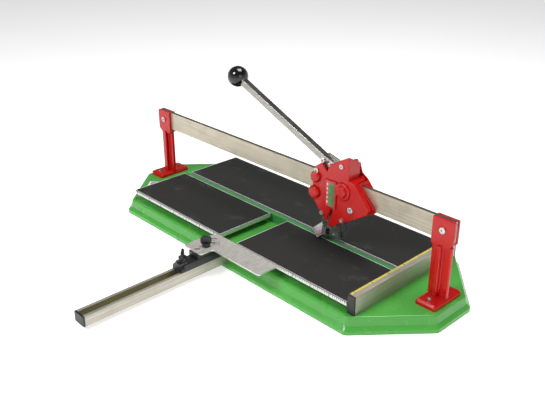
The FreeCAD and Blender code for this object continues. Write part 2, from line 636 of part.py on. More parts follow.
stop = newBody("Stop")
PLATE_FRONT = "(plate_bar_back + plate_bar_depth)"
stop_sketch = outline(stop, "StopOutline", "XY_Plane", [
    ("-plate_stem_left", "-plate_stem_front"), ("plate_stem_right", "-plate_stem_front"),
    ("plate_stem_right", "-" + PLATE_FRONT), ("plate_bar_reach", "-" + PLATE_FRONT),
    ("plate_bar_reach", "-plate_bar_back"),
    ("-plate_stem_left + plate_corner_cut * 0.55", "-plate_bar_back"),
    ("-plate_stem_left", "-plate_bar_back - plate_corner_cut")], PLATE_LOW)
pad(stop, "StopSheet", stop_sketch, "plate_thickness")
round_(stop, "StopCorners", "plate_thickness * 2", isUpright)
stop_hole = outline(stop, "StopHole", "XY_Plane", [], "%s - 1" % PLATE_LOW,
                    [("0", "-plate_pivot_y", "stud_radius + running_clear")])
pocket(stop, "StopStudHole", stop_hole, "plate_thickness + 2", reverse=True)
windows = (("-18", "-plate_pivot_y + 34", "12", "4"), ("-4", "-plate_pivot_y + 21", "9", "4"),
           ("-5", "-plate_pivot_y - 20", "9", "4"))
for i, (wx, wy, length, width) in enumerate(windows):
    slot = outline(stop, "Window%d" % i, "XY_Plane", [
        ("%s - %s / 2" % (wx, length), "%s - %s / 2" % (wy, length)),
        ("%s - %s / 2 + %s" % (wx, length, width), "%s - %s / 2 - %s" % (wy, length, width)),
        ("%s + %s / 2 + %s" % (wx, length, width), "%s + %s / 2 - %s" % (wy, length, width)),
        ("%s + %s / 2" % (wx, length), "%s + %s / 2" % (wy, length))], "%s - 1" % PLATE_LOW)
    pocket(stop, "WindowCut%d" % i, slot, "plate_thickness + 2", reverse=True)
keep(stop, "protractor_plate")
keep(wingKnob("PlateWing", "plate_pivot_y", "(%s + plate_thickness + running_clear)" % PLATE_LOW,
              "36", "46"), "plate_knob")

# ---- carriage: two cast shells that clasp the rail, with four flanged rollers


def cx(offset):
    return "(carriage_x + (%s))" % offset


def rz(offset):
    """A height on a shell: above mid-rail it follows the rail's top edge, below it the bottom edge."""
    if float(offset) > 0:
        return "(%s + (%s) - clasp_half)" % (RAIL_TOP, offset)
    return "(rail_bottom + (%s) + clasp_half)" % offset


def spot(x, z):
    return (cx(x), rz(z))


UPPER_Z = "(%s + roller_tread + rail_clear)" % RAIL_TOP
LOWER_Z = "(rail_bottom - roller_tread - rail_clear)"
ROLLERS = (("upper_left", cx("-roller_left"), UPPER_Z), ("upper_right", cx("roller_inner"), UPPER_Z),
           ("lower_left", cx("-roller_left"), LOWER_Z), ("lower_right", cx("roller_right"), LOWER_Z))
SHELL_SCREWS = (spot(17, -61.5), spot(12, 58.5))
SHORT_SCREW = spot(-39, -62.5)

FRONT_OUTLINE = [spot(x, z) for x, z in (
    (-63, 37.5), (-45, 50.5), (-28, 35.5), (-20, 54.5), (31, 83.5), (31, 32.5), (46, 30.5),
    (83, -11.5), (87, -16.5), (83, -27.5), (-15, -88.5), (-21, -83.5), (-9, -47.5),
    (-16, -45.5), (-26, -79.5), (-39, -68.5), (-63, -41.5), (-68, -21.5), (-68, 20.5))]
REAR_OUTLINE = [spot(x, z) for x, z in (
    (-63, 37.5), (-45, 50.5), (-28, 35.5), (-8, 42.5), (8, 60), (24, 60), (31, 40), (46, 30.5),
    (83, -11.5), (87, -16.5), (83, -27.5), (-15, -88.5), (-39, -68.5), (-63, -41.5),
    (-68, -21.5), (-68, 20.5))]
RIGHT_FLANGE = [spot(x, z) for x, z in (
    (44, 30.5), (46, 30.5), (83, -11.5), (87, -16.5), (83, -27.5), (79, -27.5), (83, -16.5),
    (79.5, -12.5), (43, 28))]
# the rear casting's flange starts below the hood
REAR_RIGHT_FLANGE = [spot(x, z) for x, z in (
    (45.1, 25.7), (50.2, 25.7), (83, -11.5), (87, -16.5), (83, -27.5), (79, -27.5), (83, -16.5),
    (79.5, -12.5))]
LOWER_FLANGE = [spot(x, z) for x, z in ((83, -27.5), (79, -27.5), (16, -66.5), (16, -70))]
LOWER_RIM = "(plate_inner + rocker_wall + 1.3)"
LEFT_FLANGE = [spot(x, z) for x, z in (
    (-63, 37.5), (-68, 20.5), (-68, -21.5), (-65, -21.5), (-65, 20), (-60, 36))]
HOOD = [spot(x, z) for x, z in (
    (-3, 64.5), (31, 83.5), (31, 32.5), (46, 30.5), (46, 26), (27.5, 28), (27.5, 60.5), (5, 60.5))]
WRAP = [spot(x, z) for x, z in (
    (47, 23.6), (52, 23.6), (86, -11.5), (90, -16.5), (86, -28.5), (79.5, -28.5), (79.5, -23.6),
    (84, -16.5), (80, -12.5))]
WRAP_TOP = [spot(x, z) for x, z in ((47, 23.6), (52, 23.6), (50, 28), (47, 28))]
WRAP_BASE = [spot(x, z) for x, z in ((79.5, -28.5), (86, -28.5), (87.5, -24), (79.5, -24))]


def shellBody(name, points, front):
    """One half casting. Sketches on XZ count their offset towards -Y."""
    body = newBody(name)
    face = "shell_half - shell_wall" if front else "-shell_half"
    pad(body, name + "Face", outline(body, name + "FaceOutline", "XZ_Plane", points, face),
        "shell_wall")
    right_inner = "seam_half + 0.8" if front else "flange_half"
    right_rim = RIGHT_FLANGE if front else REAR_RIGHT_FLANGE
    rims = (("Right", right_rim, right_inner), ("Left", LEFT_FLANGE, "roller_half + rail_clear"),
            ("Lower", LOWER_FLANGE, LOWER_RIM))
    for tag, rim, inner in rims:
        start = inner if front else "-shell_half + shell_wall"
        sketch = outline(body, name + tag, "XZ_Plane", rim, start)
        pad(body, name + tag + "Rim", sketch, "shell_half - shell_wall - (%s)" % inner)
    return body


def bumps(body, name, front, domes):
    """Rounded bosses cast on the outside of a shell: place, radius, height, edge rounding."""
    for i, (where, radius, height, rounding) in enumerate(domes):
        start = "shell_half - shell_wall" if front else "-shell_half - (%s)" % height
        sketch = outline(body, "%sDome%d" % (name, i), "XZ_Plane", [], start,
                         [(where[0], where[1], radius)])
        pad(body, "%sDomePad%d" % (name, i), sketch, "shell_wall + (%s)" % height)
        doc.recompute()
        reach = value("shell_half + (%s)" % height)
        low = value(where[1]) - value(radius)
        round_(body, "%sDomeRound%d" % (name, i), rounding,
               lambda e: e.BoundBox.YLength < 0.01 and abs(abs(e.BoundBox.YMin) - reach) < 0.01
               and abs(e.BoundBox.ZMin - low) < 0.01)


def bores(body, name, spots, through):
    """Round holes right through a shell, along Y."""
    sketch = outline(body, name, "XZ_Plane", [], "-2 * shell_half",
                     [(x, z, radius) for x, z, radius in spots])
    pocket(body, name + "Cut", sketch, through, reverse=True)


def headSeats(body, name, front):
    """Round clearances for the open axles' heads or nuts where a boss stands beside them."""
    seats = outline(body, name, "XZ_Plane", [], "shell_half" if front else "-shell_half",
                    [(x, z, "axle_head_radius + screw_clear") for x, z, _ in OPEN_SPOTS])
    pocket(body, name + "Cut", seats, "shell_half", reverse=front)


BLIND = ("upper_right", "lower_left")
AXLE_SPOTS = [(x, z, "roller_bore + screw_clear") for _, x, z in ROLLERS]
OPEN_SPOTS = [(x, z, "roller_bore + screw_clear") for label, x, z in ROLLERS if label not in BLIND]
PIVOT_SPOT = [(cx(0), PIVOT_Z, "pivot_radius + screw_clear")]
SCREW_SPOTS = [(x, z, "foot_screw_radius + screw_clear") for x, z in SHELL_SCREWS]

front_shell = shellBody("FrontShell", FRONT_OUTLINE, True)
round_(front_shell, "FaceRound", "cast_round * 0.7",
       lambda e: e.BoundBox.YLength < 0.001 and abs(e.BoundBox.YMin + value("shell_half")) < 0.01)
hood = outline(front_shell, "HoodOutline", "XZ_Plane", HOOD, "-hood_back")
pad(front_shell, "HoodPad", hood, "shell_half - shell_wall + hood_back")
roof = outline(front_shell, "RoofSlope", "YZ_Plane", [
    ("-shell_half", rz("83.5")), ("hood_back", rz("64.5")), ("hood_back + 1", rz("90")),
    ("-shell_half", rz("90"))], "carriage_x - 10")
pocket(front_shell, "RoofCut", roof, "60", reverse=True)
bumps(front_shell, "Front", True, (
    (spot(-58, 15.5), "13", "8", "6"), (spot(-61, -20.5), "15", "8", "6"),
    (spot(17, 4.5), "20", "4", "3"), (spot(17, 4.5), "13", "9", "4.5")))
frame = outline(front_shell, "LabelFrame", "XZ_Plane",
                rectangle(cx(-30), cx(1), rz("-42.5"), rz("20.5")), "shell_half - 1")
pad(front_shell, "LabelFramePad", frame, "4")
recess = outline(front_shell, "LabelRecess", "XZ_Plane",
                 rectangle(cx(-27.5), cx("-1.5"), rz("-40"), rz("18")), "shell_half + 2")
pocket(front_shell, "LabelRecessCut", recess, "3", reverse=True)
bores(front_shell, "FrontBores", OPEN_SPOTS + SCREW_SPOTS
      + [SHORT_SCREW + ("foot_screw_radius + screw_clear",)], "4 * shell_half")
headSeats(front_shell, "FrontSeats", True)
keep(front_shell, "carriage_front_shell")

rear_shell = shellBody("RearShell", REAR_OUTLINE, False)
bumps(rear_shell, "Rear", False, (
    (spot(-58, 15.5), "13", "6", "4"), (spot(-61, -20.5), "15", "6", "4"),
    (spot(17, 4.5), "20", "5", "4")))
lug = outline(rear_shell, "EndLug", "XZ_Plane", [], "-shell_half - 3", [spot(34, 25) + ("8.5",)])
pad(rear_shell, "EndLugPad", lug, "shell_half + 3 - hood_back - 0.5")
wrap = outline(rear_shell, "WrapSide", "XZ_Plane", WRAP, "rail_thickness / 2 + 2 * rail_clear")
pad(rear_shell, "WrapSidePad", wrap, "seam_half - rail_thickness / 2 - 2 * rail_clear")
for tag, points in (("WrapTop", WRAP_TOP), ("WrapBase", WRAP_BASE)):
    bridge = outline(rear_shell, tag, "XZ_Plane", points, "-shell_half + shell_wall - 1")
    pad(rear_shell, tag + "Pad", bridge, "shell_half - shell_wall + 1 + seam_half")
# the lower pillar meets the front shell's lower rim, the upper one the back of the hood
PILLAR_ENDS = ("shell_half - shell_wall + 1 + %s" % LOWER_RIM, "shell_half - shell_wall + 1 - hood_back")
for i, ((sx, sz), reach) in enumerate(zip(SHELL_SCREWS, PILLAR_ENDS)):
    pillar = outline(rear_shell, "Pillar%d" % i, "XZ_Plane", [], "-shell_half + shell_wall - 1",
                     [(sx, sz, "foot_screw_radius + 2.5")])
    pad(rear_shell, "PillarPad%d" % i, pillar, reach)
bores(rear_shell, "RearBores", AXLE_SPOTS + PIVOT_SPOT + SCREW_SPOTS, "4 * shell_half")
headSeats(rear_shell, "RearSeats", False)
keep(rear_shell, "carriage_rear_shell")
keep(box("Label", cx(-27.3), "-shell_half - 2 - label_thickness", rz("-39.8"), "25.6", "label_thickness",
         "%s - %s" % (rz("17.8"), rz("-39.8"))), "label_plate")

axles = []
for label, x, z in ROLLERS:
    name = "".join(word.title() for word in label.split("_"))
    tread = alongY(name + "Tread", "roller_tread", "-roller_half", "2 * roller_half", x, z)
    rims = [alongY(name + "RimA", "roller_flange", "-roller_half",
                   "roller_half - rail_thickness / 2 - rail_clear", x, z),
            alongY(name + "RimB", "roller_flange", "rail_thickness / 2 + rail_clear",
                   "roller_half - rail_thickness / 2 - rail_clear", x, z)]
    bore = alongY(name + "Bore", "roller_bore + running_clear", "-roller_half - 1",
                  "2 * roller_half + 2", x, z)
    keep(cut(name, fuse(name + "Blank", tread, *rims), bore), label + "_roller")
    front_face = "(-shell_half + shell_wall + 3)" if label in BLIND else "(-shell_half)"
    back_face = "(shell_half + 6)" if label == "lower_left" else "(shell_half)"
    axles.append(boltAlongY(name + "Axle", x, z, front_face, back_face, "roller_bore",
                            "axle_head_radius", "3", "4"))
keep(group("Axles", *axles), "roller_axles")

shell_screws = [boltAlongY("ShellScrew%d" % i, x, z, "(-shell_half)", "(shell_half)",
                           "foot_screw_radius", "screw_head_radius", "2.5", "3")
                for i, (x, z) in enumerate(SHELL_SCREWS)]
short_head = alongY("ShortScrewHead", "screw_head_radius", "-shell_half - 2.5", "2.5", *SHORT_SCREW)
short_stem = alongY("ShortScrewStem", "foot_screw_radius", "-shell_half", "shell_wall + 4",
                    *SHORT_SCREW)
shell_screws.append(fuse("ShortScrew", short_head, short_stem))
keep(group("ShellScrews", *shell_screws), "carriage_screws")
pivot_stem = alongY("PivotStem", "pivot_radius", "-shell_half + shell_wall",
                    "2 * shell_half - shell_wall", cx(0), PIVOT_Z)
pivot_head = alongY("PivotHead", "pivot_radius + 3", "-shell_half + shell_wall", "2", cx(0), PIVOT_Z)
pivot_tail = alongY("PivotTail", "pivot_radius + 3", "shell_half", "2", cx(0), PIVOT_Z)
keep(fuse("Pivot", pivot_stem, pivot_head, pivot_tail), "lever_pivot")

# ---- lever: two rocker plates beside the rail, a square bar and the tools below


def pz(offset):
    """A height counted from the lever pivot."""
    return "(%s + (%s))" % (PIVOT_Z, offset)


COS = "cos(handle_angle * 1deg)"
SIN = "sin(handle_angle * 1deg)"


def onBar(along, off):
    """A point on the handle: distance up the bar and across it, from the pivot."""
    x = "(carriage_x - (%s) * %s + (%s) * %s)" % (along, COS, off, SIN)
    z = "(%s + (%s) * %s + (%s) * %s)" % (PIVOT_Z, along, SIN, off, COS)
    return (x, z)


EAR_OFF = "(-handle_drop)"
BOLT_SPOTS = [onBar("34", EAR_OFF), onBar("52", EAR_OFF)]
FOOT_PIN = (cx(-38), pz(-121))
HOLDER_PINS = [(cx(-22), pz(-124)), (cx(-6), pz(-124))]
ROCKER = [onBar("60", "-handle_drop + 9"), onBar("60", "-handle_drop - 9"),
          (cx(-18), pz(-8)), (cx(-15), pz(-62)), (cx(-25), pz(-97)), (cx(-47), pz(-114)),
          (cx(-47), pz(-128)), (cx(-34), pz(-136)), (cx(2), pz(-136)),
          (cx(5), pz(-112)), (cx(10), pz(-8)), (cx(10), pz(8)), (cx(2), pz(13))]
for tag, side in (("front", ""), ("rear", "-")):
    plate = newBody("Rocker" + tag)
    start = "plate_inner" if tag == "front" else "-plate_inner - rocker_wall"
    pad(plate, tag + "RockerPad", outline(plate, tag + "RockerOutline", "XZ_Plane", ROCKER, start),
        "rocker_wall")
    round_(plate, tag + "RockerRounds", "3",
           lambda e: runsAlong(e, "y"))
    holes = [(cx(0), PIVOT_Z, "pivot_radius + running_clear"),
             FOOT_PIN + ("3 + screw_clear",)]
    holes += [spot_ + ("handle_bolt_radius + screw_clear",) for spot_ in BOLT_SPOTS]
    holes += [spot_ + ("2 + screw_clear",) for spot_ in HOLDER_PINS]
    bores(plate, tag + "RockerBores", holes, "4 * shell_half")
    keep(plate, "rocker_plate_" + tag)

bar = newBody("Bar")
bar_points = [onBar("26", "-handle_drop - handle_bar / 2"), onBar("26", "-handle_drop + handle_bar / 2"),
              onBar("handle_length", "-handle_drop + handle_bar / 2"),
              onBar("handle_length", "-handle_drop - handle_bar / 2")]
pad(bar, "BarPad", outline(bar, "BarOutline", "XZ_Plane", bar_points, "-handle_bar / 2"), "handle_bar")
round_(bar, "BarEdges", "1.2", lambda e: e.Length > 200)
bores(bar, "BarBores", [s + ("handle_bolt_radius + screw_clear",) for s in BOLT_SPOTS],
      "4 * shell_half")
keep(bar, "handle_bar")
OUTER = "(plate_inner + rocker_wall)"
keep(group("HandleBolts", *[
    boltAlongY("HandleBolt%d" % i, x, z, "(-%s)" % OUTER, OUTER, "handle_bolt_radius", "6", "3.5", "4")
    for i, (x, z) in enumerate(BOLT_SPOTS)]), "handle_bolts")

ball_x, ball_z = onBar("handle_length + ball_radius * 0.45", EAR_OFF)
ball = doc.addObject("Part::Sphere", "Ball")
bind(ball, "Radius", "ball_radius")
place(ball, ball_x, 0, ball_z)
socket = doc.addObject("Part::Box", "BallSocket")
bind(socket, "Length", "handle_bar")
bind(socket, "Width", "handle_bar")
bind(socket, "Height", "60")
socket.Placement = Placement(Vector(), Rotation(Vector(0, 1, 0), 90))
bind(socket, "Placement.Rotation.Angle", "handle_angle - 90")
bind(socket, "Placement.Base.x", onBar("handle_length - 60", "-handle_drop - handle_bar / 2")[0])
bind(socket, "Placement.Base.y", "-handle_bar / 2")
bind(socket, "Placement.Base.z", onBar("handle_length - 60", "-handle_drop - handle_bar / 2")[1])
keep(cut("Knob", ball, socket), "ball_knob")

# wheel holder between the plates, with the scoring wheel on its axle
HOLDER_HALF = "(plate_inner - running_clear)"
holder = box("HolderBlock", cx(-28), "-" + HOLDER_HALF, "wheel_height - 4", "28",
             "2 * " + HOLDER_HALF, "%s - wheel_height + 4" % pz(-116))
fork = box("HolderFork", cx(-32), "-wheel_width / 2 - 0.4", "wheel_height - 10", "36",
           "wheel_width + 0.8", "10 + wheel_radius + 2")
wheel_spot = (cx(-17), "wheel_height")
tools = [fork, alongY("HolderAxleHole", "wheel_bore + screw_clear", "-20", "40", *wheel_spot)]
tools += [alongY("HolderPinHole%d" % i, "2 + screw_clear", "-20", "40", x, z)
          for i, (x, z) in enumerate(HOLDER_PINS)]
keep(cut("Holder", holder, *tools), "wheel_holder")
keep(group("HolderPins", *[
    alongY("HolderPin%d" % i, "2", "-%s - 1" % OUTER, "2 * (%s + 1)" % OUTER, x, z)
    for i, (x, z) in enumerate(HOLDER_PINS)]), "holder_pins")

half_wheels = []
for i, turn in enumerate((-90, 90)):
    cone = doc.addObject("Part::Cone", "WheelCone%d" % i)
    bind(cone, "Radius1", "wheel_radius")
    bind(cone, "Radius2", "wheel_radius - wheel_width * 0.7")
    bind(cone, "Height", "wheel_width / 2")
    half_wheels.append(place(cone, wheel_spot[0], 0, wheel_spot[1], (1, 0, 0), turn))
wheel_bore = alongY("WheelBore", "wheel_bore + running_clear", "-5", "10", *wheel_spot)
keep(cut("Wheel", fuse("WheelBlank", *half_wheels), wheel_bore), "scoring_wheel")
axle_stem = alongY("WheelAxleStem", "wheel_bore", "-%s" % HOLDER_HALF, "2 * " + HOLDER_HALF, *wheel_spot)
axle_head = alongY("WheelAxleHead", "wheel_bore + 2", "-%s - 2" % HOLDER_HALF, "2", *wheel_spot)
keep(fuse("WheelAxle", axle_stem, axle_head), "wheel_axle")

# breaker foot: two wings folded to a V, leaning up to a hub between the plates
FOOT_APEX = cx(-87)
FOOT_END = cx(-49)


def footShape():
    """Oblique V-shaped prism, trimmed to a taper, with its hub and pin hole."""
    low = value("foot_bottom")
    rise = value("foot_rise")
    apex = value(FOOT_APEX)
    end = value(FOOT_END)
    half = value("foot_half")
    wall = value("foot_wall")
    skew = wall * 1.6
    plan = [Vector(apex, 0, low), Vector(end, -half, low), Vector(end + skew, -half + wall, low),
            Vector(apex + 2 * skew, 0, low), Vector(end + skew, half - wall, low),
            Vector(end, half, low)]
    wire = Part.makePolygon(plan + [plan[0]])
    wings = Part.Face(wire).extrude(Vector(rise * 1.12, 0, rise))
    relief = value("foot_relief")
    neck = value("plate_inner") - relief
    shoulder = value(pz(-136)) - 3 * relief
    side = [Vector(apex - 5, half + 5, low - 1), Vector(apex - 5, half + 5, low + 8),
            Vector(apex - 5, neck, shoulder), Vector(apex - 5, neck, low + rise)]
    other = [Vector(p.x, -p.y, p.z) for p in reversed(side)]
    taper = Part.makePolygon(side + other + side[:1])
    keeper = Part.Face(taper).extrude(Vector(200, 0, 0))
    pin = Vector(value(FOOT_PIN[0]), 0, value(FOOT_PIN[1]))
    half_hub = value("plate_inner - 0.3")
    hub = Part.makeCylinder(7, 2 * half_hub, pin - Vector(0, half_hub, 0), Vector(0, 1, 0))
    stalk = Part.makeBox(14, 2 * half_hub, 14, pin + Vector(-12, -half_hub, -14))
    bore = Part.makeCylinder(3 + value("running_clear"), 40, pin - Vector(0, 20, 0), Vector(0, 1, 0))
    corner = Vector(value(cx(-28)) - relief, -half_hub - relief, low)
    behind = Part.makeBox(40, 2 * (half_hub + relief), 60, corner)
    return wings.common(keeper).cut(behind).fuse([hub, stalk]).cut(bore).removeSplitter()


foot = doc.addObject("Part::Feature", "BreakerFoot")
foot.Shape = footShape()
foot.Placement = Placement(Vector(), Rotation())
keep(foot, "breaker_foot")
foot_stem = alongY("FootPinStem", "3", "-%s" % OUTER, "2 * " + OUTER, *FOOT_PIN)
foot_head = alongY("FootPinHead", "5.5", "-%s - 3" % OUTER, "3", *FOOT_PIN)
foot_tail = alongY("FootPinTail", "5", OUTER, "2.5", *FOOT_PIN)
keep(fuse("FootPin", foot_stem, foot_head, foot_tail), "foot_pin")

# ---- check every object, then write the parts

doc.recompute()
for obj in doc.Objects:
    if "Invalid" in obj.State or "Error" in obj.State:
        raise RuntimeError("failed object: %s %s" % (obj.Label, obj.State))
for obj in nodes:
    if obj.Shape.isNull() or not obj.Shape.isValid():
        raise RuntimeError("bad shape: " + obj.Label)
for obj in nodes:
    obj.Shape.exportStep("parts/%s.step" % obj.Label)
print(len(nodes), "parts")
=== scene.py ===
import bpy
import math
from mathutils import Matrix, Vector


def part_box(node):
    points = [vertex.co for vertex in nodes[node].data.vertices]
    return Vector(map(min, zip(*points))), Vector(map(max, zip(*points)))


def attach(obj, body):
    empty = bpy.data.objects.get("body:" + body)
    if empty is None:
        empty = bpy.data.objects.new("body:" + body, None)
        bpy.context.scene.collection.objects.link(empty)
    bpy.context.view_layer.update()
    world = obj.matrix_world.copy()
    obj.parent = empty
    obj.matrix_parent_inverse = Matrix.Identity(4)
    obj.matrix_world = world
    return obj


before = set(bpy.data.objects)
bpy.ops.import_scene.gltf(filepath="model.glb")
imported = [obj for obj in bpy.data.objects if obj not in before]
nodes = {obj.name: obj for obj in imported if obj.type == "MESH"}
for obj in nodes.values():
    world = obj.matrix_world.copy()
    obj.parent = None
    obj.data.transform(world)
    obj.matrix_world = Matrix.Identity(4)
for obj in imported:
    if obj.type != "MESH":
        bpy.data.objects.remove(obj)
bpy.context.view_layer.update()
mm = 0.001
print("frame loaded:", len(nodes), "nodes")


def newFinish(name, color, metallic=0.0, roughness=0.5, coat=0.0):
    mat = bpy.data.materials.new(name)
    mat.use_nodes = True
    tree = mat.node_tree
    shader = tree.nodes["Principled BSDF"]
    shader.inputs["Base Color"].default_value = (*color, 1)
    shader.inputs["Metallic"].default_value = metallic
    shader.inputs["Roughness"].default_value = roughness
    shader.inputs["Coat Weight"].default_value = coat
    shader.inputs["Coat Roughness"].default_value = 0.12
    mat.diffuse_color = (*color, 1)
    return mat, tree, shader


def grainCoords(tree, stretch=(1, 1, 1)):
    coords = tree.nodes.new("ShaderNodeTexCoord")
    mapping = tree.nodes.new("ShaderNodeMapping")
    mapping.inputs["Scale"].default_value = stretch
    tree.links.new(coords.outputs["Object"], mapping.inputs["Vector"])
    return mapping.outputs["Vector"]


def noise(tree, coords, scale, detail=4.0, rough=0.5):
    tex = tree.nodes.new("ShaderNodeTexNoise")
    tex.inputs["Scale"].default_value = scale
    tex.inputs["Detail"].default_value = detail
    tex.inputs["Roughness"].default_value = rough
    tree.links.new(coords, tex.inputs["Vector"])
    return tex.outputs["Fac"]


def spread(tree, value, low, high, fromLow=0.3, fromHigh=0.7):
    ranger = tree.nodes.new("ShaderNodeMapRange")
    for slot, number in zip(("From Min", "From Max", "To Min", "To Max"), (fromLow, fromHigh, low, high)):
        ranger.inputs[slot].default_value = number
    tree.links.new(value, ranger.inputs["Value"])
    return ranger.outputs["Result"]


def tint(tree, value, dark, light):
    mix = tree.nodes.new("ShaderNodeMix")
    mix.data_type = "RGBA"
    mix.inputs[6].default_value = (*dark, 1)
    mix.inputs[7].default_value = (*light, 1)
    tree.links.new(value, mix.inputs[0])
    return mix.outputs[2]


def overlay(tree, mask, under, over):
    mix = tree.nodes.new("ShaderNodeMix")
    mix.data_type = "RGBA"
    tree.links.new(mask, mix.inputs[0])
    tree.links.new(under, mix.inputs[6])
    mix.inputs[7].default_value = (*over, 1)
    return mix.outputs[2]


def bump(tree, shader, height, strength, distance=0.001):
    node = tree.nodes.new("ShaderNodeBump")
    node.inputs["Strength"].default_value = strength
    node.inputs["Distance"].default_value = distance
    tree.links.new(height, node.inputs["Height"])
    tree.links.new(node.outputs["Normal"], shader.inputs["Normal"])


def mathNode(tree, operation, a, b=None):
    node = tree.nodes.new("ShaderNodeMath")
    node.operation = operation
    for socket, item in zip(node.inputs, (a, b)):
        if item is None:
            continue
        if isinstance(item, (int, float)):
            socket.default_value = item
        else:
            tree.links.new(item, socket)
    return node.outputs[0]


def paint(name, color, roughness, dust, grain=900, depth=0.12, coat=0.25):
    # stove enamel: slight orange peel, thin dust in broad patches, a few rubbed spots
    mat, tree, shader = newFinish(name, color, 0, roughness, coat)
    shader.inputs["Specular IOR Level"].default_value = 0.35
    flat = grainCoords(tree)
    patches = noise(tree, flat, 7, 4)
    light = tuple(c + (0.6 - c) * dust for c in color)
    dark = tuple(c * 0.93 for c in color)
    body = tint(tree, spread(tree, patches, 0, 1), dark, light)
    specks = spread(tree, noise(tree, flat, 700, 2), 0, 0.35, 0.76, 0.80)
    shade = overlay(tree, specks, body, tuple(c * 0.6 for c in color))
    tree.links.new(shade, shader.inputs["Base Color"])
    rub = spread(tree, noise(tree, flat, 18, 5), roughness - 0.04, roughness + 0.05)
    tree.links.new(rub, shader.inputs["Roughness"])
    bump(tree, shader, noise(tree, flat, grain, 3), depth, 0.0004)
    return mat


def metal(name, color, roughness, brush, lines=0.25, metallic=0.9, smudge=0.35, topReflectionShade=0.0):
    # drawn or ground metal: fine lines along the part, smudges across it, and on some bars painted shade:
    # the upward face is darkened to stand for a dark reflection
    mat, tree, shader = newFinish(name, color, metallic, roughness)
    lined = grainCoords(tree, brush)
    flat = grainCoords(tree)
    streaks = noise(tree, lined, 260, 5, 0.65)
    smudges = noise(tree, flat, 28, 5)
    dark = tuple(c * 0.72 for c in color)
    light = tuple(min(c * 1.12, 1) for c in color)
    body = tint(tree, spread(tree, streaks, 0, 1, 0.25, 0.75), dark, light)
    grime = spread(tree, smudges, 0, smudge, 0.55, 0.75)
    shade = overlay(tree, grime, body, tuple(c * 0.6 for c in color))
    # painted shade: faces whose normal points up are darkened to stand for a dark reflection of the ceiling
    if topReflectionShade:
        facing = tree.nodes.new("ShaderNodeTexCoord")
        parts = tree.nodes.new("ShaderNodeSeparateXYZ")
        tree.links.new(facing.outputs["Normal"], parts.inputs["Vector"])
        topReflectionMask = spread(tree, parts.outputs["Z"], 0, topReflectionShade, 0.6, 0.8)
        shade = overlay(tree, topReflectionMask, shade, tuple(c * 0.07 for c in color))
    tree.links.new(shade, shader.inputs["Base Color"])
    rub = spread(tree, smudges, roughness - 0.04, roughness + 0.4 * smudge)
    tree.links.new(rub, shader.inputs["Roughness"])
    bump(tree, shader, streaks, lines, 0.0002)
    return mat


def rubber(name, color, scale, depth, roughness=0.75):
    mat, tree, shader = newFinish(name, color, 0, roughness)
    shader.inputs["Specular IOR Level"].default_value = 0.22
    flat = grainCoords(tree)
    pebble = noise(tree, flat, scale, 3, 0.7)
    scuffs = noise(tree, flat, 22, 6, 0.6)
    dark, light = tuple(c * 0.7 for c in color), tuple(c * 1.35 for c in color)
    body = tint(tree, spread(tree, pebble, 0, 1), dark, light)
    chalk = spread(tree, scuffs, 0, 0.35, 0.58, 0.8)
    tree.links.new(overlay(tree, chalk, body, (0.13, 0.13, 0.125)), shader.inputs["Base Color"])
    bump(tree, shader, pebble, depth, 0.0005)
    return mat


def plastic(name, color, roughness, scale=1500, depth=0.1, coat=0.0):
    mat, tree, shader = newFinish(name, color, 0, roughness, coat)
    flat = grainCoords(tree)
    smear = noise(tree, flat, 35, 5)
    dark, light = tuple(c * 0.8 for c in color), tuple(min(c * 1.3, 1) for c in color)
    tree.links.new(tint(tree, spread(tree, smear, 0, 1), dark, light), shader.inputs["Base Color"])
    rub = spread(tree, smear, max(roughness - 0.06, 0.03), roughness + 0.1)
    tree.links.new(rub, shader.inputs["Roughness"])
    bump(tree, shader, noise(tree, flat, scale, 3), depth, 0.0002)
    return mat


def ruled(name, color, axis, start, marks, roughness=0.35, metallic=0.0):
    # a printed tape: one tick every five millimetres, longer every ten, bold every fifty
    mat, tree, shader = newFinish(name, color, metallic, roughness)
    coords = tree.nodes.new("ShaderNodeTexCoord")
    parts = tree.nodes.new("ShaderNodeSeparateXYZ")
    tree.links.new(coords.outputs["Object"], parts.inputs["Vector"])
    along = mathNode(tree, "SUBTRACT", parts.outputs[axis], start)
    across = parts.outputs[marks["across"]]
    masks = []
    for step, thick, reach in marks["ticks"]:
        phase = mathNode(tree, "FLOORED_MODULO", along, step)
        thin = mathNode(tree, "LESS_THAN", phase, thick)
        limit = mathNode(tree, "LESS_THAN" if marks["below"] else "GREATER_THAN", across, reach)
        masks.append(mathNode(tree, "MULTIPLY", thin, limit))
    ink = masks[0]
    for mask in masks[1:]:
        ink = mathNode(tree, "MAXIMUM", ink, mask)
    wear = noise(tree, coords.outputs["Object"], 80, 5)
    body = tint(tree, spread(tree, wear, 0, 1), tuple(c * 0.82 for c in color), color)
    tree.links.new(overlay(tree, ink, body, (0.02, 0.02, 0.02)), shader.inputs["Base Color"])
    bump(tree, shader, noise(tree, coords.outputs["Object"], 700, 2), 0.05, 0.0002)
    return mat


